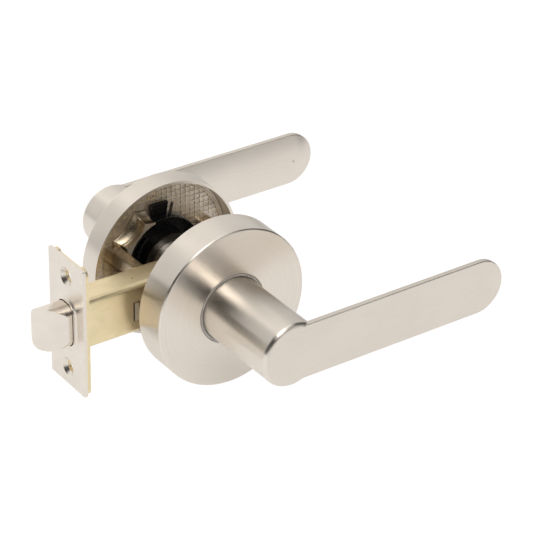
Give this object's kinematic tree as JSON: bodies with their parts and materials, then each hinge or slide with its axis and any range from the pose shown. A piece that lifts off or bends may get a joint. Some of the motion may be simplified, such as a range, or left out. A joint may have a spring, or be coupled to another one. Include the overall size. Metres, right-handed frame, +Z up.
{
  "type": "lever handle lockset",
  "caption": "Lever handle lockset with round roses, flat rounded lever blades on a through spindle, and a tubular spring latch with faceplate.",
  "frame": {"origin": "on the spindle's axis at the middle of the latch case's thickness", "axes": "+Y along the spindle from the front lever to the rear lever, +X towards the levers' tips and away from the door's edge, +Z up"},
  "size_m": [0.1767, 0.134, 0.069],
  "materials": {
    "satin_nickel": "brushed satin",
    "lever_nickel": "brushed satin along the blade",
    "bolt_nickel": "satin nickel plate",
    "raw_casting": "unpolished zinc casting",
    "black_steel": "black oxide",
    "yellow_zinc": "yellow zinc plate",
    "bright_steel": "zinc plated",
    "spring_steel": "oiled spring wire",
    "grey_nylon": "moulded nylon"
  },
  "bodies": {
    "lock_body": {"front_rose": "satin_nickel", "front_base": "raw_casting", "front_spring_cage": "black_steel", "front_return_spring": "spring_steel", "front_thrust_washer": "bright_steel", "front_neck_bush": "grey_nylon", "rear_rose": "satin_nickel", "rear_base": "raw_casting", "rear_spring_cage": "black_steel", "rear_return_spring": "spring_steel", "rear_thrust_washer": "bright_steel", "rear_neck_bush": "grey_nylon", "through_screws": "bright_steel", "latch_faceplate": "satin_nickel", "latch_backplate": "yellow_zinc", "latch_case": "yellow_zinc", "spring_stop": "yellow_zinc", "rocker_pivot_pin": "bright_steel", "bolt_spring": "spring_steel"},
    "levers": {"front_lever": "lever_nickel", "front_rotor": "black_steel", "front_retaining_clip": "spring_steel", "rear_lever": "lever_nickel", "rear_rotor": "black_steel", "rear_retaining_clip": "spring_steel", "spindle": "bright_steel", "lever_set_screws": "black_steel", "latch_hub": "raw_casting", "hub_drive_pin": "bright_steel"},
    "rocker": {"rocker": "bright_steel", "rocker_tip_pin": "bright_steel"},
    "bolt": {"latch_bolt": "bolt_nickel", "tail_plate": "bright_steel", "tail_rivets": "bright_steel"}
  },
  "joints": [
    {"name": "lever_turn", "type": "hinge", "parent": "lock_body", "child": "levers", "pos_m": [0, 0, 0], "axis": [0, 1, 0], "range_deg": [0, 45], "stiffness_Nm_per_rad": 1.1, "springref_deg": -28.65, "deforming": ["front_return_spring", "rear_return_spring"]},
    {"name": "rocker_swing", "type": "hinge", "parent": "lock_body", "child": "rocker", "pos_m": [-0.0125, 0, 0.0072], "axis": [0, 1, 0], "range_deg": [-49.06, 0]},
    {"name": "bolt_slide", "type": "slide", "parent": "lock_body", "child": "bolt", "axis": [1, 0, 0], "range_m": [0, 0.01204], "deforming": ["bolt_spring"]}
  ],
  "couplings": [
    {"joint": "rocker_swing", "follows": "lever_turn", "ratio": -1.09},
    {"joint": "bolt_slide", "follows": "lever_turn", "m_per_rad": 0.015327}
  ]
}
